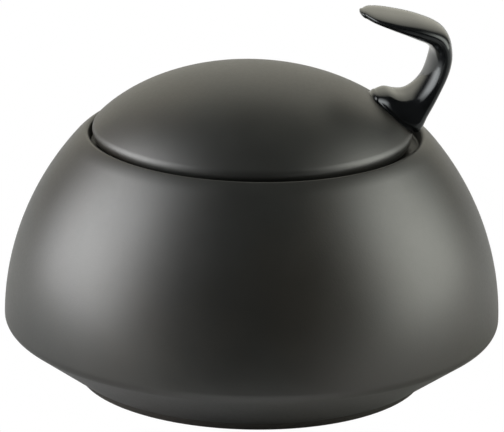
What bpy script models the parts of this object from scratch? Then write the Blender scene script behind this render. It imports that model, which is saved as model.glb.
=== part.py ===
"""Lidded sugar bowl: a round ceramic bowl, a domed lid that drops into its mouth, and a ribbon
handle fixed at the lid's edge.

Frame: origin at the centre of the foot ring's underside, +Z up, handle on the +X side.
Lengths below are millimetres; MM turns them into Blender's metres.
"""
import math

import bmesh
import bpy

MM = 0.001
SEGMENTS = 56            # facets round a turned piece

# Bowl, outside
BODY_RADIUS = 57.5       # widest radius
WAIST_HEIGHT = 14.6      # height of the widest circle
WALL_REACH = 62.0        # radial size of the wall's superellipse
WALL_RISE = 63.3         # vertical size of the wall's superellipse
WALL_POWER = 1.947       # superellipse power
WALL_TOP_ANGLE = 41.0    # degrees along the superellipse where the shoulder begins
TURN_RADIUS = 2.8        # rounding between the wall and the underside cone
CONE_ANGLE = 35.6        # degrees that the underside rises from level
FOOT_CREASE = 42.2       # radius where the underside meets the foot ring
FOOT_OUTER = 40.0        # flat of the foot ring, outer radius
FOOT_INNER = 36.4        # flat of the foot ring, inner radius
FOOT_EDGE = 0.5          # softened edge of the foot ring
RECESS_DEPTH = 1.9       # hollow inside the foot ring
RECESS_SLOPE = 1.4       # radial run of that hollow's side

# Bowl, inside
WALL_THICKNESS = 3.7
FLOOR_HEIGHT = 6.0
FLOOR_FLAT = 34.5        # radius of the flat inner floor
FLOOR_TURN = 38.0        # radius where it has risen by FLOOR_LIFT
FLOOR_LIFT = 0.7
BEND_RADIUS = 7.0        # inner rounding between wall and floor
BEND_DROP = 0.4          # centre of that rounding, below the widest circle
BEND_START = -6.0        # degrees
INNER_WALL_ANGLES = range(33, -1, -4)  # places on the outer wall that the inner one follows
WELL_RADIUS = 38.1       # wall round the lid's edge
LIP_RADIUS = 0.8         # rounding of the lip
LIP_TOP = 58.15
LEDGE_HEIGHT = 55.0      # seat that the lid rests on
LEDGE_CORNER = 0.5       # bevel in the seat's corner
NECK_RADIUS = 33.2       # opening inside the seat
NECK_HEIGHT = 2.6        # height of the neck
NECK_TOP_RADIUS = 0.6    # rounding above the neck
NECK_LOW_RADIUS = 1.2    # rounding below it
NECK_LOW_ANGLE = 235.0   # degrees where that rounding ends

# Lid
SEAT_GAP = 0.3           # between the lid and its seat
DOME_RADIUS = 39.5       # radius at which the dome's formula reaches DOME_BASE
DOME_BASE = 55.28
DOME_RISE = 17.74
DOME_POWER = 2.1
DOME_ROUNDING = 0.72
LID_SHIFT = 0.4          # the lid sits this far from the bowl's axis, away from the handle
CROWN_SHIFT = 0.566      # its crown leans this much further
EDGE_RADIUS = 2.2        # rounded edge of the lid
EDGE_START = 36.19       # radius where the dome runs into that edge
RIM_RADIUS = 3.3         # rounding between the lid's side and its underside
LID_THICKNESS = 3.2
HOLLOW_RADII = (0.01, 6, 12, 17, 21, 24.5, 27.5, 30)       # steps of the lid's inner face
TOP_RADII = (35.5, 34, 32, 29.5, 26.5, 23, 19, 14.5, 9.5, 4.5)  # steps of its outer face
FLANGE_OUTER = 32.3      # ring below the lid that keeps it in the neck
FLANGE_INNER = 29.6
FLANGE_BOTTOM = 50.8
FLANGE_EDGE = 0.7
FLANGE_DROP = 2.0        # from the inner face down to the flange's straight wall

# Handle: ribs from the tip of its foot, up the stem, to the tip of the tab.
# Each rib is (inner radius, inner height, outer radius, outer height, half width, share by which
# it is wider outside and narrower inside, superellipse power of its section).
HANDLE_RIBS = (
    (28.1, 67.3, 27.5, 64.8, 4.2, 0.10, 2.5),  # tip of the foot, on the dome
    (30.4, 67.7, 29.7, 63.0, 6.8, 0.12, 2.7),
    (33.0, 67.0, 32.6, 60.3, 9.0, 0.12, 2.8),  # saddle of the foot
    (35.2, 67.1, 36.8, 58.7, 9.5, 0.12, 2.8),  # root, over the lid's edge
    (37.3, 68.6, 39.3, 62.4, 8.3, 0.12, 2.6),
    (39.0, 71.0, 41.9, 66.9, 7.5, 0.12, 2.4),  # stem
    (40.1, 74.2, 44.4, 72.7, 7.7, 0.10, 2.3),
    (40.5, 77.0, 45.0, 77.5, 8.0, 0.08, 2.2),
    (39.0, 79.0, 43.5, 82.0, 8.2, 0.05, 2.2),  # bend
    (35.9, 80.6, 38.0, 84.5, 8.7, 0.05, 2.4),
    (30.7, 82.9, 31.1, 85.9, 8.7, 0.05, 2.5),  # tab
    (26.8, 84.4, 26.7, 86.5, 6.8, 0.05, 2.5),
    (25.0, 85.0, 24.5, 86.7, 3.1, 0.00, 2.5),
)
RIB_STEPS = 3            # rings between two ribs
RING_POINTS = 24
TIP_LENGTH = 1.0         # rounded end past the last rib
TIP_ANGLES = (35, 65)    # degrees round that end
HANDLE_GAP = 0.35        # between the handle's foot and the lid
EDGE_CORNER = 45         # degrees round the lid's edge where the foot turns down over it

SHARP_ANGLE = 40         # degrees; gentler edges are shaded smooth


def clear_scene():
    for obj in list(bpy.data.objects):
        bpy.data.objects.remove(obj, do_unlink=True)


def arc(centre_r, centre_z, radius, start, end, steps):
    """Points on an arc, angles in degrees from the outward direction."""
    points = []
    for i in range(steps + 1):
        angle = math.radians(start + (end - start) * i / steps)
        points.append((centre_r + radius * math.cos(angle), centre_z + radius * math.sin(angle)))
    return points


def wall_point(degrees):
    """Outer wall of the bowl, from its widest circle at 0 degrees upward."""
    angle = math.radians(degrees)
    power = 2.0 / WALL_POWER
    r = BODY_RADIUS - WALL_REACH + WALL_REACH * math.cos(angle) ** power
    z = WAIST_HEIGHT + WALL_RISE * math.sin(angle) ** power
    return r, z


def offset_inward(points, distance):
    """A line that runs outward or down, moved square to itself towards the inside."""
    moved = []
    for i, (r, z) in enumerate(points):
        before = points[max(i - 1, 0)]
        after = points[min(i + 1, len(points) - 1)]
        dr = after[0] - before[0]
        dz = after[1] - before[1]
        length = math.hypot(dr, dz)
        moved.append((r + distance * dz / length, z - distance * dr / length))
    return moved


def underside_points():
    """Foot ring, underside cone and the turn into the wall."""
    cone_end = arc(BODY_RADIUS - TURN_RADIUS, WAIST_HEIGHT, TURN_RADIUS, CONE_ANGLE - 90, 0, 5)
    drop = (cone_end[0][0] - FOOT_CREASE) * math.tan(math.radians(CONE_ANGLE))
    crease = (FOOT_CREASE, cone_end[0][1] - drop)
    foot = [
        (0.0, RECESS_DEPTH),
        (FOOT_INNER - RECESS_SLOPE, RECESS_DEPTH),
        (FOOT_INNER - FOOT_EDGE, FOOT_EDGE),
        (FOOT_INNER, 0.0),
        (FOOT_OUTER, 0.0),
        (FOOT_OUTER + FOOT_EDGE, FOOT_EDGE),
    ]
    return foot + [crease] + cone_end


def outer_wall_points(steps):
    return [wall_point(WALL_TOP_ANGLE * i / steps) for i in range(1, steps + 1)]


def lip_points(shoulder_steps, lip_steps):
    """Shoulder that leaves the wall smoothly, then the rounded lip down to the well."""
    end = wall_point(WALL_TOP_ANGLE)
    before = wall_point(WALL_TOP_ANGLE - 0.1)
    run = math.hypot(end[0] - before[0], end[1] - before[1])
    normal = ((end[1] - before[1]) / run, (before[0] - end[0]) / run)
    lip = (WELL_RADIUS + LIP_RADIUS, LIP_TOP - LIP_RADIUS)
    dr = end[0] - lip[0]
    dz = end[1] - lip[1]
    clearance = dr * normal[0] + dz * normal[1] - LIP_RADIUS
    radius = (dr ** 2 + dz ** 2 - LIP_RADIUS ** 2) / (2 * clearance)
    centre = (end[0] - radius * normal[0], end[1] - radius * normal[1])
    start = math.degrees(math.atan2(normal[1], normal[0]))
    meet = math.degrees(math.atan2(lip[1] - centre[1], lip[0] - centre[0]))
    shoulder = arc(*centre, radius, start, meet, shoulder_steps)[1:-1]
    return shoulder + arc(*lip, LIP_RADIUS, meet, 180, lip_steps)


def bowl_profile():
    """Closed section of the bowl, from the axis below to the axis inside."""
    outside = underside_points() + outer_wall_points(12)
    lip = lip_points(4, 5)
    well = [(WELL_RADIUS, LEDGE_HEIGHT + LEDGE_CORNER), (WELL_RADIUS - LEDGE_CORNER, LEDGE_HEIGHT)]
    neck_top = LEDGE_HEIGHT - NECK_TOP_RADIUS
    neck_low = LEDGE_HEIGHT - NECK_HEIGHT
    neck = arc(NECK_RADIUS + NECK_TOP_RADIUS, neck_top, NECK_TOP_RADIUS, 90, 180, 2)
    neck += arc(NECK_RADIUS + NECK_LOW_RADIUS, neck_low, NECK_LOW_RADIUS, 180, NECK_LOW_ANGLE, 2)
    inner_line = offset_inward([wall_point(a) for a in INNER_WALL_ANGLES], WALL_THICKNESS)
    bend_r = BODY_RADIUS - WALL_THICKNESS - BEND_RADIUS
    bottom = arc(bend_r, WAIST_HEIGHT - BEND_DROP, BEND_RADIUS, BEND_START, CONE_ANGLE - 90, 4)
    floor = [(FLOOR_TURN, FLOOR_HEIGHT + FLOOR_LIFT), (FLOOR_FLAT, FLOOR_HEIGHT), (0.0, FLOOR_HEIGHT)]
    return outside + lip + well + neck + inner_line + bottom + floor


def dome_height(r):
    fall = max(0.0, 1.0 - (r / DOME_RADIUS) ** DOME_POWER)
    return DOME_BASE + DOME_RISE * fall ** DOME_ROUNDING


def dome_slope(r):
    step = 0.01
    return (dome_height(r + step) - dome_height(r - step)) / (2 * step)


def edge_centre():
    """Centre of the lid's rounded edge, tangent to the dome at EDGE_START."""
    slope = dome_slope(EDGE_START)
    length = math.hypot(1.0, slope)
    return (EDGE_START + EDGE_RADIUS * slope / length, dome_height(EDGE_START) - EDGE_RADIUS / length)


def lid_shift(z):
    """Sideways place of the lid's middle at a height, with its crown leaning further."""
    return -LID_SHIFT - CROWN_SHIFT * max(0.0, z - DOME_BASE) / DOME_RISE


def dome_top(x, y):
    """Height of the dome at a place seen from above."""
    z = dome_height(math.hypot(x + LID_SHIFT, y))
    for _ in range(3):
        z = dome_height(math.hypot(x - lid_shift(z), y))
    return z


def lid_profile():
    """Closed section of the lid, from the axis inside to the axis on top."""
    inner = [(r, dome_height(r)) for r in HOLLOW_RADII]
    inner = offset_inward(inner, LID_THICKNESS)
    inner[0] = (0.0, DOME_BASE + DOME_RISE - LID_THICKNESS)
    bottom = LEDGE_HEIGHT + SEAT_GAP
    flange = [
        (FLANGE_INNER, inner[-1][1] - FLANGE_DROP),
        (FLANGE_INNER, FLANGE_BOTTOM + FLANGE_EDGE),
        (FLANGE_INNER + FLANGE_EDGE, FLANGE_BOTTOM),
        (FLANGE_OUTER - FLANGE_EDGE, FLANGE_BOTTOM),
        (FLANGE_OUTER, FLANGE_BOTTOM + FLANGE_EDGE),
        (FLANGE_OUTER, bottom),
    ]
    centre_r, centre_z = edge_centre()
    side = centre_r + EDGE_RADIUS
    end = math.degrees(math.atan2(1.0, -dome_slope(EDGE_START)))
    edge = arc(side - RIM_RADIUS, bottom + RIM_RADIUS, RIM_RADIUS, -90, 0, 4)
    edge += arc(centre_r, centre_z, EDGE_RADIUS, 0, end, 4)
    top = [(r, dome_height(r)) for r in TOP_RADII]
    return inner + flange + edge + top + [(0.0, DOME_BASE + DOME_RISE)]


def blend_ribs(before, start, end, after, t):
    """Catmull-Rom curve through the ribs."""
    blended = []
    for a, b, c, d in zip(before, start, end, after):
        value = 2 * b + (c - a) * t + (2 * a - 5 * b + 4 * c - d) * t ** 2
        blended.append(0.5 * (value + (3 * b - a - 3 * c + d) * t ** 3))
    return tuple(blended)


def handle_ribs():
    ribs = []
    last = len(HANDLE_RIBS) - 1
    for i in range(last):
        around = [HANDLE_RIBS[min(max(i + k, 0), last)] for k in (-1, 0, 1, 2)]
        ribs += [blend_ribs(*around, step / RIB_STEPS) for step in range(RIB_STEPS)]
    return ribs + [HANDLE_RIBS[-1]]


def rounded(value, power):
    """Signed power that squares off a circle into a superellipse."""
    return math.copysign(abs(value) ** (2.0 / power), value)


def ring(rib, scale=1.0, shift=(0.0, 0.0)):
    """Points round one rib: across the handle along Y, through it along the rib."""
    inner_r, inner_z, outer_r, outer_z, half_width, taper, power = rib
    mid = ((inner_r + outer_r) / 2 + shift[0], (inner_z + outer_z) / 2 + shift[1])
    points = []
    for i in range(RING_POINTS):
        angle = 2 * math.pi * i / RING_POINTS
        through = rounded(math.sin(angle), power)
        along = through * scale / 2
        y = half_width * scale * rounded(math.cos(angle), power) * (1 + taper * through)
        points.append((mid[0] + along * (outer_r - inner_r), y, mid[1] + along * (outer_z - inner_z)))
    return points


def tip_rings(rib, neighbour):
    """Two shrinking rings and the end point that round off one end of the handle."""
    mid = ((rib[0] + rib[2]) / 2, (rib[1] + rib[3]) / 2)
    back = ((neighbour[0] + neighbour[2]) / 2, (neighbour[1] + neighbour[3]) / 2)
    length = math.hypot(mid[0] - back[0], mid[1] - back[1])
    along = ((mid[0] - back[0]) / length, (mid[1] - back[1]) / length)
    rings = []
    for degrees in TIP_ANGLES:
        reach = TIP_LENGTH * math.sin(math.radians(degrees))
        shift = (along[0] * reach, along[1] * reach)
        rings.append(ring(rib, math.cos(math.radians(degrees)), shift))
    end = (mid[0] + along[0] * TIP_LENGTH, 0.0, mid[1] + along[1] * TIP_LENGTH)
    return rings, end


def clear_of_lid(point):
    """Move a point of the handle's foot out until it is HANDLE_GAP from the lid's upper side."""
    x, y, z = point
    shift = lid_shift(z)
    r = math.hypot(x - shift, y)
    if r <= EDGE_START:
        return x, y, max(z, dome_top(x, y) + HANDLE_GAP * math.hypot(1.0, dome_slope(r)))
    centre_r, centre_z = edge_centre()
    clear_radius = EDGE_RADIUS + HANDLE_GAP
    across = r - centre_r
    if across <= clear_radius * math.cos(math.radians(EDGE_CORNER)):
        return x, y, max(z, centre_z + math.sqrt(clear_radius ** 2 - across ** 2))
    rise = max(z - centre_z, 0.0)
    grow = max(clear_radius / math.hypot(across, rise), 1.0)
    outward = (centre_r + across * grow) / r
    return shift + (x - shift) * outward, y * outward, z + rise * (grow - 1.0)


def new_object(name, bm, material):
    bmesh.ops.recalc_face_normals(bm, faces=bm.faces)
    mesh = bpy.data.meshes.new(name)
    bm.to_mesh(mesh)
    bm.free()
    mesh.shade_smooth()
    mesh.set_sharp_from_angle(angle=math.radians(SHARP_ANGLE))
    mesh.materials.append(material)
    obj = bpy.data.objects.new(name, mesh)
    bpy.context.scene.collection.objects.link(obj)
    return obj


def turned(profile):
    """Solid of revolution about Z from a section that starts and ends on the axis."""
    bm = bmesh.new()
    verts = [bm.verts.new((r * MM, 0.0, z * MM)) for r, z in profile]
    edges = [bm.edges.new(pair) for pair in zip(verts, verts[1:])]
    bmesh.ops.spin(
        bm, geom=verts + edges, cent=(0, 0, 0), axis=(0, 0, 1),
        angle=2 * math.pi, steps=SEGMENTS, use_merge=True,
    )
    bmesh.ops.remove_doubles(bm, verts=bm.verts, dist=1e-6)
    return bm


def shifted_lid():
    """The turned lid, off-centre in its well, with its crown leaning away from the handle."""
    bm = turned(lid_profile())
    for vert in bm.verts:
        vert.co.x += lid_shift(vert.co.z / MM) * MM
    return bm


def ribbon_handle():
    ribs = handle_ribs()
    foot_rings, foot_end = tip_rings(ribs[0], ribs[1])
    tab_rings, tab_end = tip_rings(ribs[-1], ribs[-2])
    rings = foot_rings[::-1] + [ring(rib) for rib in ribs] + tab_rings
    bm = bmesh.new()
    loops = []
    for points in rings:
        seated = [clear_of_lid(point) for point in points]
        loops.append([bm.verts.new([c * MM for c in point]) for point in seated])
    ends = [bm.verts.new([c * MM for c in clear_of_lid(point)]) for point in (foot_end, tab_end)]
    for near, far in zip(loops, loops[1:]):
        for i in range(RING_POINTS):
            j = (i + 1) % RING_POINTS
            bm.faces.new((near[i], near[j], far[j], far[i]))
    for loop, end in ((loops[0], ends[0]), (loops[-1], ends[1])):
        for i in range(RING_POINTS):
            bm.faces.new((loop[i], loop[(i + 1) % RING_POINTS], end))
    return bm


def ceramic(name, colour, roughness, coat):
    material = bpy.data.materials.new(name)
    material.use_nodes = True
    shader = material.node_tree.nodes["Principled BSDF"]
    shader.inputs["Base Color"].default_value = (*colour, 1.0)
    shader.inputs["Roughness"].default_value = roughness
    shader.inputs["Coat Weight"].default_value = coat
    shader.inputs["Metallic"].default_value = 0.0
    return material


def build():
    clear_scene()
    satin = ceramic("satin_glaze", (0.030, 0.030, 0.027), 0.42, 0.0)
    lid_satin = ceramic("lid_satin_glaze", (0.030, 0.030, 0.027), 0.40, 0.0)
    gloss = ceramic("gloss_glaze", (0.012, 0.013, 0.014), 0.08, 0.6)
    new_object("bowl", turned(bowl_profile()), satin)
    new_object("lid", shifted_lid(), lid_satin)
    new_object("lid_handle", ribbon_handle(), gloss)


build()
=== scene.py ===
"""Lidded sugar bowl: fine meshes, glazes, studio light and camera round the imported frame.

Frame: origin at the centre of the foot ring's underside, +Z up, handle on the +X side.
Lengths are millimetres unless a comment says metres; MM turns them into Blender's metres.
"""
import math

import bmesh
import bpy
from mathutils import Matrix, Vector


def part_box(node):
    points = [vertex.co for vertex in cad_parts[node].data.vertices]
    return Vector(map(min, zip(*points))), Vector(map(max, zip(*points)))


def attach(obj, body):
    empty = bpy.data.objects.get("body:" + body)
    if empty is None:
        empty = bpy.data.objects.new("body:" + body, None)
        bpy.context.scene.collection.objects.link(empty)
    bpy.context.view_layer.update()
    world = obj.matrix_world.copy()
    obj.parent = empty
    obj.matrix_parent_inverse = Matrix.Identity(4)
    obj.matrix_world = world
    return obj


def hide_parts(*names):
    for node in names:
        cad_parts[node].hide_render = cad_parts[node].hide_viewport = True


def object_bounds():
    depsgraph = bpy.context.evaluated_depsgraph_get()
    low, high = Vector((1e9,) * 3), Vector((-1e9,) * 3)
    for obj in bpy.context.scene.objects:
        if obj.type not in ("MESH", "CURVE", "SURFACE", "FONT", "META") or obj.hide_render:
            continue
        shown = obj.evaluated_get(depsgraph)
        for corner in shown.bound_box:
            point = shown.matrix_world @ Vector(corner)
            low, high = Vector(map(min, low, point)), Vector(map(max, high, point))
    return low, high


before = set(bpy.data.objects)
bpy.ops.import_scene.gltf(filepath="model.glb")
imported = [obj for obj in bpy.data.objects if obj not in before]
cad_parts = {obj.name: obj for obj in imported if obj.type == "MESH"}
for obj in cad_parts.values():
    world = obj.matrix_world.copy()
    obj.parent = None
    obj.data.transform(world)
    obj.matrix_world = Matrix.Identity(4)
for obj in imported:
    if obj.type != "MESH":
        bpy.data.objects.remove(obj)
cad_low, cad_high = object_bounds()

MM = 0.001
SEGMENTS = 224              # facets round a turned piece
SHARP_ANGLE = 35            # degrees; an edge that turns by more stays sharp

bowl_box = [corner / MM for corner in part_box("bowl")]
lid_box = [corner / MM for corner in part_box("lid")]

# Bowl, outside
BODY_RADIUS = bowl_box[1].x
LIP_TOP = bowl_box[1].z
WAIST_HEIGHT = 14.6         # height of the widest circle
WALL_REACH = 62.0           # radial size of the wall's superellipse
WALL_RISE = 63.3            # vertical size of the wall's superellipse
WALL_POWER = 1.947          # superellipse power
WALL_TOP_ANGLE = 41.0       # degrees along the superellipse where the shoulder begins
WALL_STEPS = 60
WALL_CROWDING = 1.15        # above 1, the steps are shorter near the widest circle
TURN_RADIUS = 2.8           # rounding between the wall and the underside cone
CONE_ANGLE = 35.6           # degrees that the underside rises from level
FOOT_CREASE = 42.2          # radius where the underside meets the foot ring
FOOT_OUTER = 40.0           # the foot ring's flat face ends here
FOOT_INNER = 36.4           # and begins here
FOOT_EDGE = 0.5             # rounding on both sides of it
FOOT_EDGE_END = 345         # degrees where the outer rounding runs into the side of the foot
RECESS_DEPTH = 1.9
RECESS_SLOPE = 1.4          # the recess has its full depth this far inside the flat face

# Bowl, inside
WALL_THICKNESS = 3.7
INNER_WALL_TOP = 33         # degrees along the superellipse where the inner wall begins
INNER_WALL_STEP = 2         # degrees
FLOOR_HEIGHT = 6.0
FLOOR_FLAT = 30.0           # radius of the floor's level part
FLOOR_RISE = ((38.0, 0.7), (36.2, 0.2), (34.5, 0.0))  # (radius, rise) where it turns up
BEND_RADIUS = 7.0           # rounding between the inner wall and the floor
BEND_DROP = 0.4             # its middle is this far below the widest circle
BEND_START = -6             # degrees from level where it begins
WELL_RADIUS = 38.1
LIP_RADIUS = 0.8
LEDGE_HEIGHT = 55.0
LEDGE_ROUND = 0.5           # rounding between the well's wall and the ledge
NECK_RADIUS = 33.2
NECK_HEIGHT = 2.6
NECK_TOP_ROUND = 0.6        # rounding at the neck's upper edge
NECK_FOOT_ROUND = 1.2       # rounding at its lower edge
NECK_FOOT_END = 235         # degrees where that rounding ends

# Lid
LID_RADIUS = (lid_box[1].x - lid_box[0].x) / 2
LID_SHIFT = -(lid_box[1].x + lid_box[0].x) / 2  # it sits this far off-centre, away from the handle
DOME_TOP = lid_box[1].z
DOME_RADIUS = 39.5          # radius at which the dome's formula reaches DOME_BASE
DOME_BASE = 55.28
DOME_RISE = DOME_TOP - DOME_BASE
DOME_POWER = 2.1
DOME_ROUNDING = 0.72
DOME_STEPS = 60
CROWN_SHIFT = 0.566         # its crown leans this much further
EDGE_RADIUS = 2.2           # rounding from the dome to the lid's widest circle
EDGE_START = 36.19          # radius where it begins
RIM_RADIUS = 3.3            # rounding from the widest circle to the underside
SEAT_GAP = 0.3
LID_THICKNESS = 3.2
HOLLOW_RADIUS = 30.0        # the hollow below follows the dome as far as this radius
HOLLOW_STEPS = 20
FLANGE_OUTER = 32.3
FLANGE_INNER = 29.6
FLANGE_BOTTOM = lid_box[0].z
FLANGE_EDGE = 0.7
FLANGE_ROOT = 2.0           # the flange's inner wall begins this far below the end of the hollow

# Handle: the CAD part's ribs, each (inner radius, inner height, outer radius, outer height, half
# width, share by which it is wider outside and narrower inside, superellipse power)
HANDLE_RIBS = (
    (28.1, 67.3, 27.5, 64.8, 4.2, 0.10, 2.5),  # tip of the foot, on the dome
    (30.4, 67.7, 29.7, 63.0, 6.8, 0.12, 2.7),
    (33.0, 67.0, 32.6, 60.3, 9.0, 0.12, 2.8),  # saddle of the foot
    (35.2, 67.1, 36.8, 58.7, 9.5, 0.12, 2.8),  # root, over the lid's edge
    (37.3, 68.6, 39.3, 62.4, 8.3, 0.12, 2.6),
    (39.0, 71.0, 41.9, 66.9, 7.5, 0.12, 2.4),  # stem
    (40.1, 74.2, 44.4, 72.7, 7.7, 0.10, 2.3),
    (40.5, 77.0, 45.0, 77.5, 8.0, 0.08, 2.2),
    (39.0, 79.0, 43.5, 82.0, 8.2, 0.05, 2.2),  # bend
    (35.9, 80.6, 38.0, 84.5, 8.7, 0.05, 2.4),
    (30.7, 82.9, 31.1, 85.9, 8.7, 0.05, 2.5),  # tab
    (26.8, 84.4, 26.7, 86.5, 6.8, 0.05, 2.5),
    (25.0, 85.0, 24.5, 86.7, 3.1, 0.00, 2.5),
)
RIB_STEPS = 12
RING_POINTS = 96
TIP_LENGTH = 1.0
TIP_RINGS = 8
FOOT_SINK = 0.4             # the foot ends this far inside the lid
EDGE_CORNER = 45            # degrees round the lid's edge where the foot turns down over it
FILLET_RADIUS = 0.5         # glaze run in the corner round the foot
FOOT_SPINE = (29.5, 35.0)   # the foot's middle line, from and to, along X
SPINE_RADIUS = 1.0          # nearer than this to the middle line the foot doesn't spread

# Glazes; a scale is in features a metre, and a bump's depth is in metres
SATIN_COLOUR = (0.021, 0.022, 0.020)
SATIN_BROWN = (0.026, 0.023, 0.018)
SATIN_IOR = 1.8
BOWL_ROUGHNESS = 0.40
LID_ROUGHNESS = 0.42
PATCH_SCALE = 22.0          # of the brown in the black
PATCH_LIMITS = (0.35, 0.65)
CLOUD_SCALE = 130.0
CLOUD_SHADE = 0.5           # range of brightness that the clouds give
CLOUD_ROUGHNESS = 0.05      # range of roughness that they give
CLOUD_DEPTH = 0.00002
GRAIN_SCALE = 1300.0
GRAIN_ROUGHNESS = 0.10      # range of roughness that the grain gives
SKIN_SCALE = 2200.0
SKIN_DEPTH = 0.000012
SPECK_COLOUR = (0.30, 0.30, 0.28)
SPECK_CELLS = 160.0         # cells in a metre that may hold a speck
SPECK_SHARE = 0.05          # share of the cells that do
SPECK_SIZE = 0.045          # radius of a speck, in cells
SPECK_CORE = 0.4            # share of that radius at full strength
GLOSS_COLOUR = (0.010, 0.011, 0.012)
GLOSS_SHADES = (0.8, 1.2)   # darkest and palest, as shares of the colour
GLOSS_TINT = (0.93, 0.985, 1.0)  # its highlights are slightly blue
GLOSS_IOR = 1.5
GLOSS_ROUGHNESS = (0.10, 0.04)   # least, and range
GLOSS_CLOUD_SCALE = 90.0
GLOSS_CLOUD_LIMITS = (0.3, 0.7)
CLAY_DARK = (0.035, 0.032, 0.028)
CLAY_PALE = (0.085, 0.078, 0.068)
CLAY_ROUGHNESS = (0.8, 0.1)      # least, and range
CLAY_GRAIN_SCALE = 1600.0
CLAY_GRAIN_DEPTH = 0.00005

# Camera
HEADING = 8.0               # degrees that the camera looks to the right of +Y
TILT = 17.85                # degrees that it looks down
ROLL = 1.05                 # degrees
DISTANCE = 1.0              # metres
LENS = 308.3
SENSOR_WIDTH = 36.0
CLIP_RANGE = (0.05, 20.0)   # metres
AIM_HEIGHT = 0.4351         # share of the object's height
AIM_SIDE = -0.32            # millimetres to the right

# Studio, round the camera's heading: 0 is behind the object and 90 is on the right
WHITE = (1.0, 1.0, 1.0, 1.0)
# Panels of light: azimuth, (half width of the full part, of the whole), (height of the full part,
# of the whole), radiance and tint; angles in degrees from the object
PANELS = (
    (-88.7, (9.0, 43.0), (27.5, 66.0), 5.3, (1.0, 1.0, 1.0)),
    (85.7, (8.0, 41.0), (36.5, 56.0), 3.6, (0.985, 1.0, 0.92)),
    (0.0, (20.0, 45.0), (39.0, 60.0), 0.88, (1.0, 0.97, 0.83)),
)
ROOM_RADIANCE = 0.023
PAPER_SIZE = 3.0            # metres from the middle to each side
PAPER_GAP = 0.00002         # metres below the object, so that the two faces don't coincide
PAPER_ROUGHNESS = 0.9
PAPER_PALE = 0.86
PAPER_PAINTED_SHADE = 0.15           # painted shade: the paper's colour in front of the object
PAPER_FRONT = (20.0, 45.0)  # degrees either side of the camera, where the painted shade in front ends
PAPER_NEAR = (0.080, 0.110)  # metres from the middle where the painted shade starts


def arc(centre_r, centre_z, radius, start, end, steps):
    """Points on an arc, angles in degrees from the outward direction."""
    points = []
    for i in range(steps + 1):
        angle = math.radians(start + (end - start) * i / steps)
        points.append((centre_r + radius * math.cos(angle), centre_z + radius * math.sin(angle)))
    return points


def between(start, end, steps):
    """Points on a straight line, without its last one."""
    return [
        (start[0] + (end[0] - start[0]) * i / steps, start[1] + (end[1] - start[1]) * i / steps)
        for i in range(steps)
    ]


def wall_point(degrees):
    """Outer wall of the bowl, from its widest circle at 0 degrees upward."""
    angle = math.radians(degrees)
    power = 2.0 / WALL_POWER
    r = BODY_RADIUS - WALL_REACH + WALL_REACH * math.cos(angle) ** power
    z = WAIST_HEIGHT + WALL_RISE * math.sin(angle) ** power
    return r, z


def offset_inward(points, distance):
    """A line that runs outward or down, moved square to itself towards the inside."""
    moved = []
    for i, (r, z) in enumerate(points):
        before = points[max(i - 1, 0)]
        after = points[min(i + 1, len(points) - 1)]
        dr = after[0] - before[0]
        dz = after[1] - before[1]
        length = math.hypot(dr, dz)
        moved.append((r + distance * dz / length, z - distance * dr / length))
    return moved


def dome_height(r):
    """Height of the lid's upper side at a radius from its own middle."""
    fall = max(0.0, 1.0 - (r / DOME_RADIUS) ** DOME_POWER)
    return DOME_BASE + DOME_RISE * fall ** DOME_ROUNDING


def dome_slope(r):
    """Rise of the dome over a small step outward; it is negative."""
    step = 0.01
    return (dome_height(r + step) - dome_height(r - step)) / (2 * step)


def edge_centre():
    """Middle of the rounding that leaves the dome smoothly at EDGE_START."""
    slope = dome_slope(EDGE_START)
    length = math.hypot(1.0, slope)
    return (EDGE_START + EDGE_RADIUS * slope / length, dome_height(EDGE_START) - EDGE_RADIUS / length)


def lid_shift(z):
    """Sideways place of the lid's middle at a height, with its crown leaning further."""
    return -LID_SHIFT - CROWN_SHIFT * max(0.0, z - DOME_BASE) / DOME_RISE


def dome_top(x, y):
    """Height of the dome at a place seen from above."""
    z = dome_height(math.hypot(x + LID_SHIFT, y))
    for _ in range(3):  # the lean depends on the height, which settles in three rounds
        z = dome_height(math.hypot(x - lid_shift(z), y))
    return z


def lip_points(shoulder_steps, lip_steps):
    """Shoulder that leaves the wall smoothly, then the rounded lip down to the well."""
    end = wall_point(WALL_TOP_ANGLE)
    before = wall_point(WALL_TOP_ANGLE - 0.1)
    run = math.hypot(end[0] - before[0], end[1] - before[1])
    normal = ((end[1] - before[1]) / run, (before[0] - end[0]) / run)
    lip = (WELL_RADIUS + LIP_RADIUS, LIP_TOP - LIP_RADIUS)
    dr = end[0] - lip[0]
    dz = end[1] - lip[1]
    clearance = dr * normal[0] + dz * normal[1] - LIP_RADIUS
    radius = (dr ** 2 + dz ** 2 - LIP_RADIUS ** 2) / (2 * clearance)
    centre = (end[0] - radius * normal[0], end[1] - radius * normal[1])
    start = math.degrees(math.atan2(normal[1], normal[0]))
    meet = math.degrees(math.atan2(lip[1] - centre[1], lip[0] - centre[0]))
    shoulder = arc(*centre, radius, start, meet, shoulder_steps)[1:-1]
    return shoulder + arc(*lip, LIP_RADIUS, meet, 180, lip_steps)


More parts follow.
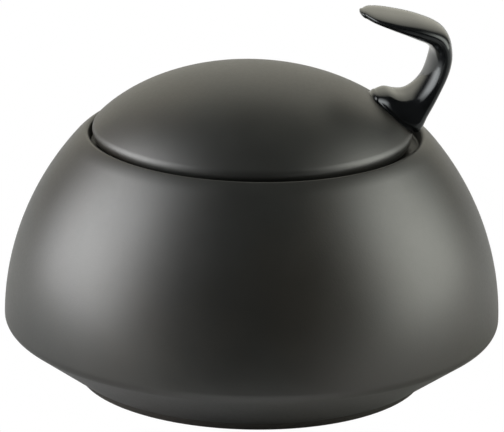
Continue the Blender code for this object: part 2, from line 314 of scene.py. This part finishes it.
def bowl_sections():
    """The bowl's section as (material zone, points) runs, from the axis below to the axis inside."""
    turn = arc(BODY_RADIUS - TURN_RADIUS, WAIST_HEIGHT, TURN_RADIUS, CONE_ANGLE - 90, 0, 20)
    drop = (turn[0][0] - FOOT_CREASE) * math.tan(math.radians(CONE_ANGLE))
    crease = (FOOT_CREASE, turn[0][1] - drop)
    shares = [(i / WALL_STEPS) ** WALL_CROWDING for i in range(1, WALL_STEPS + 1)]
    wall = [wall_point(WALL_TOP_ANGLE * share) for share in shares]
    lip = lip_points(12, 16)
    recess_edge = (FOOT_INNER - RECESS_SLOPE, RECESS_DEPTH)
    foot_in = arc(FOOT_INNER, FOOT_EDGE, FOOT_EDGE, 180, 270, 4)
    foot_out = arc(FOOT_OUTER, FOOT_EDGE, FOOT_EDGE, 270, FOOT_EDGE_END, 4)
    hollow = between((0.0, RECESS_DEPTH), recess_edge, 12) + [recess_edge]
    cone = between(crease, turn[0], 10)
    ledge_round = arc(WELL_RADIUS - LEDGE_ROUND, LEDGE_HEIGHT + LEDGE_ROUND, LEDGE_ROUND, 0, -90, 5)
    neck = arc(NECK_RADIUS + NECK_TOP_ROUND, LEDGE_HEIGHT - NECK_TOP_ROUND, NECK_TOP_ROUND, 90, 180, 6)
    neck_foot = (NECK_RADIUS + NECK_FOOT_ROUND, LEDGE_HEIGHT - NECK_HEIGHT)
    neck += arc(*neck_foot, NECK_FOOT_ROUND, 180, NECK_FOOT_END, 6)
    angles = range(INNER_WALL_TOP, -1, -INNER_WALL_STEP)
    inner = offset_inward([wall_point(angle) for angle in angles], WALL_THICKNESS)
    bend = (BODY_RADIUS - WALL_THICKNESS - BEND_RADIUS, WAIST_HEIGHT - BEND_DROP)
    bottom = arc(*bend, BEND_RADIUS, BEND_START, CONE_ANGLE - 90, 12)
    floor = [(r, FLOOR_HEIGHT + rise) for r, rise in FLOOR_RISE]
    floor += between((FLOOR_FLAT, FLOOR_HEIGHT), (0.0, FLOOR_HEIGHT), 6) + [(0.0, FLOOR_HEIGHT)]
    return (
        ("satin", hollow),
        ("bare", foot_in + foot_out),
        ("satin", cone + turn + wall + lip + ledge_round),
        ("gloss", neck + inner + bottom + floor),
    )


def lid_sections():
    """The lid's section as (material zone, points) runs, from the axis inside to the axis on top."""
    radii = [0.01] + [HOLLOW_RADIUS * i / HOLLOW_STEPS for i in range(1, HOLLOW_STEPS + 1)]
    inner = offset_inward([(r, dome_height(r)) for r in radii], LID_THICKNESS)
    inner[0] = (0.0, DOME_TOP - LID_THICKNESS)
    bottom = LEDGE_HEIGHT + SEAT_GAP
    flange = [(FLANGE_INNER, inner[-1][1] - FLANGE_ROOT)]
    flange += arc(FLANGE_INNER + FLANGE_EDGE, FLANGE_BOTTOM + FLANGE_EDGE, FLANGE_EDGE, 180, 270, 6)
    flange += arc(FLANGE_OUTER - FLANGE_EDGE, FLANGE_BOTTOM + FLANGE_EDGE, FLANGE_EDGE, 270, 360, 6)
    flange += [(FLANGE_OUTER, bottom)]
    centre_r, centre_z = edge_centre()
    end = math.degrees(math.atan2(1.0, -dome_slope(EDGE_START)))
    edge = arc(LID_RADIUS - RIM_RADIUS, bottom + RIM_RADIUS, RIM_RADIUS, -90, 0, 14)
    edge += arc(centre_r, centre_z, EDGE_RADIUS, 0, end, 20)
    radii = [EDGE_START * (1 - i / DOME_STEPS) for i in range(1, DOME_STEPS)]
    top = [(r, dome_height(r)) for r in radii] + [(0.0, DOME_TOP)]
    return (("gloss", inner + flange), ("satin", edge + top))


def turned(name, sections, materials, shift=None):
    """Solid of revolution about Z from sections that start and end on the axis."""
    bm = bmesh.new()
    rings = []
    zones = []
    for zone, points in sections:
        for r, z in points:
            count = 1 if r < 1e-6 else SEGMENTS
            middle = shift(z) if shift else 0.0
            ring = []
            for i in range(count):
                angle = 2 * math.pi * i / count
                place = (r * math.cos(angle) + middle, r * math.sin(angle), z)
                ring.append(bm.verts.new([c * MM for c in place]))
            rings.append(ring)
            zones.append(zone)
    names = list(materials)
    for near, far, zone in zip(rings, rings[1:], zones):
        for i in range(SEGMENTS):
            j = i + 1
            corners = [near[i % len(near)], near[j % len(near)], far[j % len(far)], far[i % len(far)]]
            face = bm.faces.new(list(dict.fromkeys(corners)))
            face.material_index = names.index(zone)
    return new_piece(name, bm, [materials[key] for key in names])


def new_piece(name, bm, materials):
    """Object from a finished bmesh, smooth except at its sharp edges."""
    bmesh.ops.recalc_face_normals(bm, faces=bm.faces)
    mesh = bpy.data.meshes.new(name)
    bm.to_mesh(mesh)
    bm.free()
    mesh.shade_smooth()
    mesh.set_sharp_from_angle(angle=math.radians(SHARP_ANGLE))
    for material in materials:
        mesh.materials.append(material)
    obj = bpy.data.objects.new(name, mesh)
    bpy.context.scene.collection.objects.link(obj)
    return obj


def blend_ribs(before, start, end, after, t):
    """Catmull-Rom curve through the ribs."""
    blended = []
    for a, b, c, d in zip(before, start, end, after):
        value = 2 * b + (c - a) * t + (2 * a - 5 * b + 4 * c - d) * t ** 2
        blended.append(0.5 * (value + (3 * b - a - 3 * c + d) * t ** 3))
    return tuple(blended)


def handle_ribs():
    """HANDLE_RIBS and the ribs between them, from the foot's tip to the tab's."""
    ribs = []
    last = len(HANDLE_RIBS) - 1
    for i in range(last):
        around = [HANDLE_RIBS[min(max(i + k, 0), last)] for k in (-1, 0, 1, 2)]
        ribs += [blend_ribs(*around, step / RIB_STEPS) for step in range(RIB_STEPS)]
    return ribs + [HANDLE_RIBS[-1]]


def rounded(value, power):
    """Signed power that squares off a circle into a superellipse."""
    return math.copysign(abs(value) ** (2.0 / power), value)


def handle_ring(rib, scale=1.0, shift=(0.0, 0.0)):
    """Points round one rib, which may be shrunk and moved along the handle."""
    inner_r, inner_z, outer_r, outer_z, half_width, taper, power = rib
    mid = ((inner_r + outer_r) / 2 + shift[0], (inner_z + outer_z) / 2 + shift[1])
    points = []
    for i in range(RING_POINTS):
        angle = 2 * math.pi * i / RING_POINTS
        through = rounded(math.sin(angle), power)
        along = through * scale / 2
        y = half_width * scale * rounded(math.cos(angle), power) * (1 + taper * through)
        points.append((mid[0] + along * (outer_r - inner_r), y, mid[1] + along * (outer_z - inner_z)))
    return points


def tip_rings(rib, neighbour):
    """Shrinking rings that round off an end of the handle, and its last point."""
    mid = ((rib[0] + rib[2]) / 2, (rib[1] + rib[3]) / 2)
    back = ((neighbour[0] + neighbour[2]) / 2, (neighbour[1] + neighbour[3]) / 2)
    length = math.hypot(mid[0] - back[0], mid[1] - back[1])
    along = ((mid[0] - back[0]) / length, (mid[1] - back[1]) / length)
    rings = []
    for i in range(1, TIP_RINGS):
        turn = math.pi / 2 * i / TIP_RINGS
        reach = TIP_LENGTH * math.sin(turn)
        rings.append(handle_ring(rib, math.cos(turn), (along[0] * reach, along[1] * reach)))
    end = (mid[0] + along[0] * TIP_LENGTH, 0.0, mid[1] + along[1] * TIP_LENGTH)
    return rings, end


def rest_on_lid(point, gap):
    """Move a point of the handle's foot out until it is the gap from the lid's upper side.
    Returns it and how far it then is from the lid."""
    x, y, z = point
    shift = lid_shift(z)
    r = math.hypot(x - shift, y)
    if r <= EDGE_START:
        slant = math.hypot(1.0, dome_slope(r))
        top = dome_top(x, y)
        z = max(z, top + gap * slant)
        return (x, y, z), (z - top) / slant
    centre_r, centre_z = edge_centre()
    clear_radius = EDGE_RADIUS + gap
    across = r - centre_r
    if across <= clear_radius * math.cos(math.radians(EDGE_CORNER)):
        z = max(z, centre_z + math.sqrt(clear_radius ** 2 - across ** 2))
        return (x, y, z), math.hypot(across, z - centre_z) - EDGE_RADIUS
    rise = max(z - centre_z, 0.0)
    grow = max(clear_radius / math.hypot(across, rise), 1.0)
    outward = (centre_r + across * grow) / r
    moved = (shift + (x - shift) * outward, y * outward, z + rise * (grow - 1.0))
    return moved, math.hypot(across, rise) * grow - EDGE_RADIUS


def run_into_lid(point):
    """Sink a point of the foot a little into the lid, and spread it where the glaze fills the corner."""
    (x, y, z), height = rest_on_lid(point, -FOOT_SINK)
    height = max(height, 0.0)
    if height >= FILLET_RADIUS:
        return x, y, z
    spread = FILLET_RADIUS - math.sqrt(FILLET_RADIUS ** 2 - (FILLET_RADIUS - height) ** 2)
    middle = Vector((min(max(x, FOOT_SPINE[0]), FOOT_SPINE[1]), 0.0))
    away = Vector((x, y)) - middle
    if away.length < SPINE_RADIUS:
        return x, y, z
    away.normalize()
    return x + away.x * spread, y + away.y * spread, z


def ribbon_handle(materials):
    """The handle as one skin through its rings, closed at both tips."""
    ribs = handle_ribs()
    foot_rings, foot_end = tip_rings(ribs[0], ribs[1])
    tab_rings, tab_end = tip_rings(ribs[-1], ribs[-2])
    rings = foot_rings[::-1] + [handle_ring(rib) for rib in ribs] + tab_rings
    bm = bmesh.new()
    loops = []
    for points in rings:
        loops.append([bm.verts.new([c * MM for c in run_into_lid(point)]) for point in points])
    ends = [bm.verts.new([c * MM for c in run_into_lid(point)]) for point in (foot_end, tab_end)]
    for near, far in zip(loops, loops[1:]):
        for i in range(RING_POINTS):
            j = (i + 1) % RING_POINTS
            bm.faces.new((near[i], near[j], far[j], far[i]))
    for loop, end in ((loops[0], ends[0]), (loops[-1], ends[1])):
        for i in range(RING_POINTS):
            bm.faces.new((loop[i], loop[(i + 1) % RING_POINTS], end))
    return new_piece("handle_ribbon", bm, materials)


def add(tree, kind, values=None, **settings):
    """A new node; values are numbers or other nodes' outputs for its inputs."""
    made = tree.nodes.new(kind)
    for name, value in settings.items():
        setattr(made, name, value)
    for key, value in (values or {}).items():
        if isinstance(value, bpy.types.NodeSocket):
            tree.links.new(value, made.inputs[key])
        else:
            made.inputs[key].default_value = value
    return made


def calculate(tree, operation, *values):
    made = add(tree, "ShaderNodeMath", dict(enumerate(values)), operation=operation)
    return made.outputs[0]


def ramp(tree, value, low, high, to_low=0.0, to_high=1.0):
    """Smooth step of a value from one range to another."""
    values = {"Value": value, "From Min": low, "From Max": high, "To Min": to_low, "To Max": to_high}
    return add(tree, "ShaderNodeMapRange", values, interpolation_type="SMOOTHSTEP").outputs["Result"]


def noise(tree, place, scale, detail=2.0, roughness=0.5):
    values = {"Vector": place, "Scale": scale, "Detail": detail, "Roughness": roughness}
    return add(tree, "ShaderNodeTexNoise", values).outputs["Fac"]


def mix_colour(tree, factor, first, second):
    """Mix of two colours; 0, 6, 7 and 2 are the node's sockets for them."""
    return add(tree, "ShaderNodeMix", {0: factor, 6: first, 7: second}, data_type="RGBA").outputs[2]


def rgba(colour, strength=1.0):
    return tuple(c * strength for c in colour) + (1.0,)


def start_material(name):
    material = bpy.data.materials.new(name)
    material.use_nodes = True
    tree = material.node_tree
    shader = tree.nodes["Principled BSDF"]
    place = add(tree, "ShaderNodeTexCoord").outputs["Object"]
    return material, tree, shader, place


def connect_bump(tree, shader, heights):
    """Bumps in series; each is (height output, depth in metres)."""
    normal = None
    for height, depth in heights:
        values = {"Height": height, "Distance": depth, "Strength": 1.0}
        if normal:
            values["Normal"] = normal
        normal = add(tree, "ShaderNodeBump", values).outputs["Normal"]
    tree.links.new(normal, shader.inputs["Normal"])


def specks(tree, place):
    """1 in a few pale specks of the glaze, 0 elsewhere."""
    cells = add(tree, "ShaderNodeTexVoronoi", {"Vector": place, "Scale": SPECK_CELLS})
    chosen = add(tree, "ShaderNodeSeparateColor", {"Color": cells.outputs["Color"]}).outputs[0]
    rare = calculate(tree, "GREATER_THAN", chosen, 1.0 - SPECK_SHARE)
    distance = cells.outputs["Distance"]
    dot = ramp(tree, distance, SPECK_CORE * SPECK_SIZE, SPECK_SIZE, 1.0, 0.0)
    return calculate(tree, "MULTIPLY", rare, dot)


def satin_glaze(name, roughness):
    """Matt black glaze with a silky sheen, brownish patches, a fine skin and a few pale specks."""
    material, tree, shader, place = start_material(name)
    patches = noise(tree, place, PATCH_SCALE, 3.0)
    cloud = noise(tree, place, CLOUD_SCALE, 3.0)
    grain = noise(tree, place, GRAIN_SCALE)
    skin = noise(tree, place, SKIN_SCALE)
    brown = ramp(tree, patches, *PATCH_LIMITS)
    tinted = mix_colour(tree, brown, rgba(SATIN_COLOUR), rgba(SATIN_BROWN))
    shade = calculate(tree, "MULTIPLY_ADD", cloud, CLOUD_SHADE, 1.0 - CLOUD_SHADE / 2)
    shaded = add(tree, "ShaderNodeVectorMath", {0: tinted, "Scale": shade}, operation="SCALE")
    dotted = mix_colour(tree, specks(tree, place), shaded.outputs[0], rgba(SPECK_COLOUR))
    tree.links.new(dotted, shader.inputs["Base Color"])
    grainy = calculate(tree, "MULTIPLY_ADD", grain, GRAIN_ROUGHNESS, roughness - GRAIN_ROUGHNESS / 2)
    least = calculate(tree, "SUBTRACT", grainy, CLOUD_ROUGHNESS / 2)
    varied = calculate(tree, "MULTIPLY_ADD", cloud, CLOUD_ROUGHNESS, least)
    tree.links.new(varied, shader.inputs["Roughness"])
    connect_bump(tree, shader, ((skin, SKIN_DEPTH), (cloud, CLOUD_DEPTH)))
    shader.inputs["IOR"].default_value = SATIN_IOR
    return material


def gloss_glaze(name):
    """Clear, wet-looking black glaze."""
    material, tree, shader, place = start_material(name)
    cloud = noise(tree, place, GLOSS_CLOUD_SCALE, 3.0)
    dark, pale = [rgba(GLOSS_COLOUR, shade) for shade in GLOSS_SHADES]
    mixed = mix_colour(tree, ramp(tree, cloud, *GLOSS_CLOUD_LIMITS), dark, pale)
    tree.links.new(mixed, shader.inputs["Base Color"])
    least, spread = GLOSS_ROUGHNESS
    tree.links.new(calculate(tree, "MULTIPLY_ADD", cloud, spread, least), shader.inputs["Roughness"])
    connect_bump(tree, shader, ((cloud, CLOUD_DEPTH),))
    shader.inputs["IOR"].default_value = GLOSS_IOR
    shader.inputs["Specular Tint"].default_value = rgba(GLOSS_TINT)
    return material


def bare_clay():
    """Unglazed foot ring."""
    material, tree, shader, place = start_material("bare_clay")
    grain = noise(tree, place, CLAY_GRAIN_SCALE, 4.0, 0.7)
    mixed = mix_colour(tree, grain, rgba(CLAY_DARK), rgba(CLAY_PALE))
    tree.links.new(mixed, shader.inputs["Base Color"])
    least, spread = CLAY_ROUGHNESS
    tree.links.new(calculate(tree, "MULTIPLY_ADD", grain, spread, least), shader.inputs["Roughness"])
    connect_bump(tree, shader, ((grain, CLAY_GRAIN_DEPTH),))
    return material


def heading_axes():
    """Horizontal directions away from the camera and to its right."""
    turn = math.radians(HEADING)
    ahead = Vector((math.sin(turn), math.cos(turn), 0.0))
    right = Vector((math.cos(turn), -math.sin(turn), 0.0))
    return ahead, right


def around(azimuth):
    """Level direction in the studio, in degrees: 0 is behind the object and 90 on the right."""
    ahead, right = heading_axes()
    angle = math.radians(azimuth)
    return ahead * math.cos(angle) + right * math.sin(angle)


def aim_point():
    """Point at which the camera looks."""
    _, right = heading_axes()
    return right * AIM_SIDE * MM + Vector((0, 0, cad_high.z * AIM_HEIGHT))


def compass(tree, vector, azimuth):
    """Degrees between a direction and an azimuth of the studio, whatever the direction's height."""
    level = add(tree, "ShaderNodeVectorMath", {0: vector, 1: (1.0, 1.0, 0.0)}, operation="MULTIPLY")
    unit = add(tree, "ShaderNodeVectorMath", {0: level.outputs[0]}, operation="NORMALIZE")
    values = {0: unit.outputs[0], 1: tuple(around(azimuth))}
    cosine = add(tree, "ShaderNodeVectorMath", values, operation="DOT_PRODUCT").outputs["Value"]
    return calculate(tree, "DEGREES", calculate(tree, "ARCCOSINE", cosine))


def panel_light(tree, direction, panel):
    """Light from one panel that stands on the floor, fading towards its sides and its top."""
    azimuth, (inner, outer), (low, high), radiance, tint = panel
    up = add(tree, "ShaderNodeSeparateXYZ", {"Vector": direction}).outputs["Z"]
    elevation = calculate(tree, "DEGREES", calculate(tree, "ARCSINE", up))
    across = ramp(tree, compass(tree, direction, azimuth), inner, outer, 1.0, 0.0)
    light = calculate(tree, "MULTIPLY", across, ramp(tree, elevation, low, high, 1.0, 0.0))
    values = {0: tuple(c * radiance for c in tint), "Scale": light}
    return add(tree, "ShaderNodeVectorMath", values, operation="SCALE").outputs[0]


def studio_world():
    """White to the camera; for light and reflections, soft panels in a dark room."""
    world = bpy.data.worlds.new("studio")
    world.use_nodes = True
    tree = world.node_tree
    tree.nodes.clear()
    direction = add(tree, "ShaderNodeTexCoord").outputs["Generated"]
    total = (ROOM_RADIANCE,) * 3
    for panel in PANELS:
        values = {0: panel_light(tree, direction, panel), 1: total}
        total = add(tree, "ShaderNodeVectorMath", values, operation="ADD").outputs[0]
    seen = add(tree, "ShaderNodeLightPath").outputs["Is Camera Ray"]
    shade = add(tree, "ShaderNodeBackground", {"Color": mix_colour(tree, seen, total, WHITE)})
    add(tree, "ShaderNodeOutputWorld", {"Surface": shade.outputs[0]})
    bpy.context.scene.world = world


def floor_paper():
    """White paper that reads as pure white; in front of the object its colour is darkened as painted
    shade, so it reflects little.
    """
    material, tree, shader, place = start_material("floor_paper")
    distance = add(tree, "ShaderNodeVectorMath", {0: place}, operation="LENGTH").outputs["Value"]
    # painted shade: the paper's colour darkens in front of the object, away from its middle
    front = ramp(tree, compass(tree, place, 180), *PAPER_FRONT, 1.0, 0.0)
    far = ramp(tree, distance, *PAPER_NEAR)
    dark = calculate(tree, "MULTIPLY", front, far)
    mixed = mix_colour(tree, dark, rgba((PAPER_PALE,) * 3), rgba((PAPER_PAINTED_SHADE,) * 3))
    tree.links.new(mixed, shader.inputs["Base Color"])
    shader.inputs["Roughness"].default_value = PAPER_ROUGHNESS
    shader.inputs["Specular IOR Level"].default_value = 0.0
    white = add(tree, "ShaderNodeEmission", {"Color": WHITE, "Strength": 1.0})
    seen = add(tree, "ShaderNodeLightPath").outputs["Is Camera Ray"]
    values = {0: seen, 1: shader.outputs["BSDF"], 2: white.outputs["Emission"]}
    shown = add(tree, "ShaderNodeMixShader", values)
    tree.links.new(shown.outputs["Shader"], tree.nodes["Material Output"].inputs["Surface"])
    return material


def studio_floor():
    bm = bmesh.new()
    bmesh.ops.create_grid(bm, x_segments=1, y_segments=1, size=PAPER_SIZE)
    mesh = bpy.data.meshes.new("floor")
    bm.to_mesh(mesh)
    bm.free()
    mesh.materials.append(floor_paper())
    floor = bpy.data.objects.new("floor", mesh)
    floor.location.z = cad_low.z - PAPER_GAP
    bpy.context.scene.collection.objects.link(floor)


def studio_camera():
    ahead, right = heading_axes()
    tilt, roll = math.radians(TILT), math.radians(ROLL)
    forward = ahead * math.cos(tilt) - Vector((0, 0, math.sin(tilt)))
    up = right.cross(forward)
    rolled_right = right * math.cos(roll) + up * math.sin(roll)
    rolled_up = up * math.cos(roll) - right * math.sin(roll)
    data = bpy.data.cameras.new("camera")
    data.lens = LENS
    data.sensor_width = SENSOR_WIDTH
    data.clip_start, data.clip_end = CLIP_RANGE
    camera = bpy.data.objects.new("camera", data)
    axes = Matrix((rolled_right, rolled_up, -forward)).transposed()
    camera.matrix_world = Matrix.Translation(aim_point() - forward * DISTANCE) @ axes.to_4x4()
    bpy.context.scene.collection.objects.link(camera)
    bpy.context.scene.camera = camera


def dress(piece, body, node):
    """Put a piece on its body, in the place of a CAD node."""
    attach(piece, body)
    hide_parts(node)


def build_pieces():
    bowl_materials = {
        "satin": satin_glaze("bowl_satin", BOWL_ROUGHNESS),
        "gloss": gloss_glaze("bowl_gloss"),
        "bare": bare_clay(),
    }
    lid_materials = {
        "satin": satin_glaze("lid_satin", LID_ROUGHNESS),
        "gloss": gloss_glaze("lid_gloss"),
    }
    dress(turned("bowl_body", bowl_sections(), bowl_materials), "bowl", "bowl")
    dress(turned("lid_shell", lid_sections(), lid_materials, lid_shift), "lid", "lid")
    handle = ribbon_handle([gloss_glaze("handle_gloss")])
    dress(handle, "lid", "lid_handle")


def build_studio():
    studio_world()
    studio_floor()
    studio_camera()
    bpy.context.scene.view_settings.view_transform = "Standard"


build_pieces()
build_studio()
